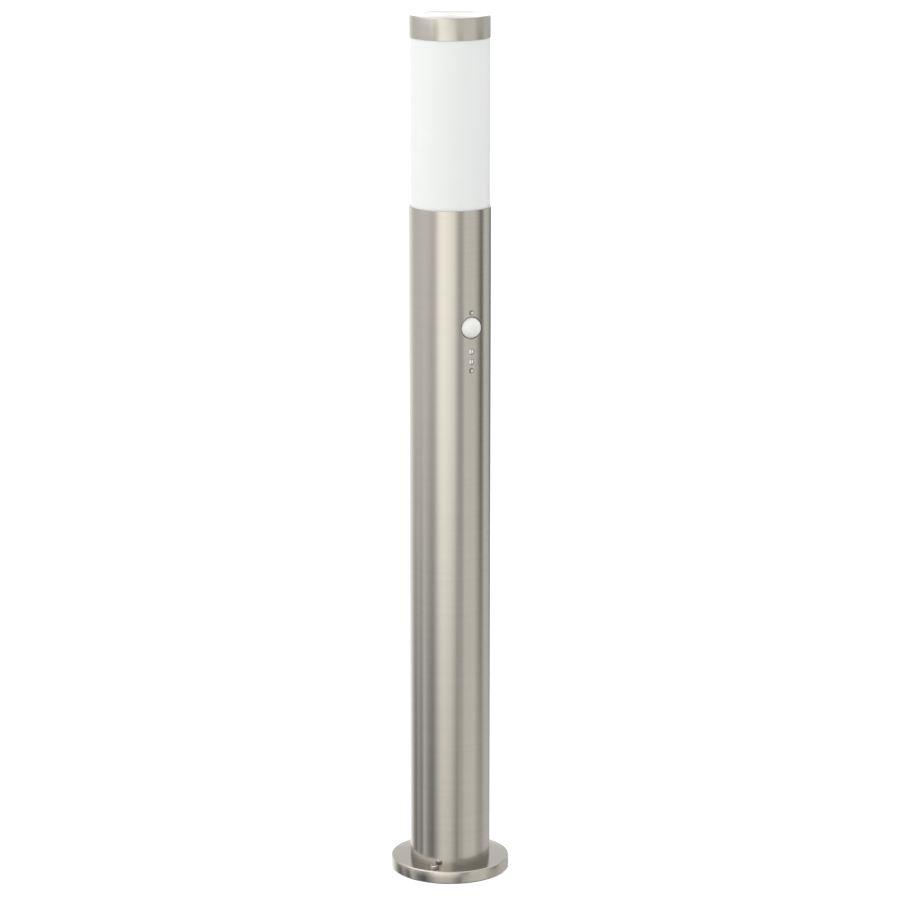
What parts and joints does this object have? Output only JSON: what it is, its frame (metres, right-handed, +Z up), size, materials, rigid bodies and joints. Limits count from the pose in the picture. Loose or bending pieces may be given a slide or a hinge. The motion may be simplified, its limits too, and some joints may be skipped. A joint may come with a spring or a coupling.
{
  "type": "bollard light",
  "caption": "Round steel pole lamp on a flanged base, with an opal head under a flat cap and a domed motion sensor with two trimmers on its front.",
  "frame": {"origin": "on the ground at the centre of the base", "axes": "+Z up along the pole, the motion sensor facing -Y"},
  "size_m": [0.112, 0.112, 0.8131],
  "materials": {
    "pole_steel": "stainless, brushed round the tube",
    "flange_steel": "stainless, brushed round the disc",
    "cap_steel": "stainless, brushed round the cap",
    "screw_steel": "plain stainless",
    "zinc_steel": "zinc plated",
    "brass": "plain brass",
    "tinned_copper": "bright plated",
    "opal_plastic": "opal, half gloss",
    "frosted_plastic": "frosted",
    "lens_plastic": "milky lens plastic",
    "trimmer_plastic": "white, half gloss",
    "white_plastic": "satin",
    "holder_plastic": "half gloss",
    "grey_plastic": "satin grey",
    "black_plastic": "fine grain",
    "black_rubber": "moulded",
    "foam": "closed-cell foam",
    "green_board": "solder mask",
    "green_plastic": "moulded",
    "capacitor_plastic": "moulded",
    "light_board": "white mask",
    "live_insulation": "brown insulation",
    "neutral_insulation": "blue insulation",
    "earth_insulation": "green insulation"
  },
  "bodies": {
    "pole": {"base_gasket": "black_rubber", "mounting_plate": "zinc_steel", "flange_standoffs": "zinc_steel", "base_flange": "flange_steel", "flange_screws": "screw_steel", "gland_body": "grey_plastic", "gland_seal": "black_rubber", "gland_nut": "grey_plastic", "gland_locknut": "grey_plastic", "terminal_bracket": "zinc_steel", "terminal_block": "white_plastic", "terminal_clamps": "brass", "terminal_screws": "screw_steel", "terminal_fixing_screws": "screw_steel", "earth_ring_terminal": "tinned_copper", "earth_screw": "screw_steel", "earth_wire": "earth_insulation", "live_wire_lower": "live_insulation", "neutral_wire_lower": "neutral_insulation", "live_wire_upper": "live_insulation", "neutral_wire_upper": "neutral_insulation", "wire_tie_bases": "white_plastic", "wire_ties": "white_plastic", "pole_tube": "pole_steel", "sensor_housing": "white_plastic", "sensor_gasket": "foam", "sensor_back_cover": "black_plastic", "sensor_dome": "lens_plastic", "dome_retainer": "black_plastic", "heat_detector": "tinned_copper", "daylight_detector": "lens_plastic", "sensor_board": "green_board", "relay": "black_plastic", "film_capacitor": "capacitor_plastic", "reservoir_capacitor": "black_plastic", "board_terminals": "green_plastic", "trimmer_bases": "capacitor_plastic", "sensor_screws": "screw_steel", "holder_support": "zinc_steel", "lamp_carrier": "grey_plastic", "carrier_screws": "screw_steel", "carrier_o_rings": "black_rubber", "holder_nipple": "zinc_steel", "nipple_nut": "zinc_steel", "holder_base": "holder_plastic", "holder_insert": "holder_plastic", "holder_contact": "brass", "holder_thread_shell": "brass", "holder_skirt": "holder_plastic", "bulb_tip": "black_plastic", "bulb_cap": "tinned_copper", "bulb_body": "white_plastic", "bulb_light_board": "light_board", "bulb_globe": "frosted_plastic"},
    "head": {"diffuser": "opal_plastic", "top_cap": "cap_steel", "cap_liner": "white_plastic", "cap_nut": "zinc_steel"},
    "time_knob": {"time_trimmer": "trimmer_plastic"},
    "lux_knob": {"lux_trimmer": "trimmer_plastic"}
  },
  "joints": [
    {"name": "head_lift", "type": "slide", "parent": "pole", "child": "head", "axis": [0, 0, 1], "range_m": [0, 0.2]},
    {"name": "time_trimmer_turn", "type": "hinge", "parent": "pole", "child": "time_knob", "pos_m": [0, -0.035, 0.5072], "axis": [0, -1, 0], "range_deg": [-135, 135]},
    {"name": "lux_trimmer_turn", "type": "hinge", "parent": "pole", "child": "lux_knob", "pos_m": [0, -0.035, 0.4977], "axis": [0, -1, 0], "range_deg": [-135, 135]}
  ]
}
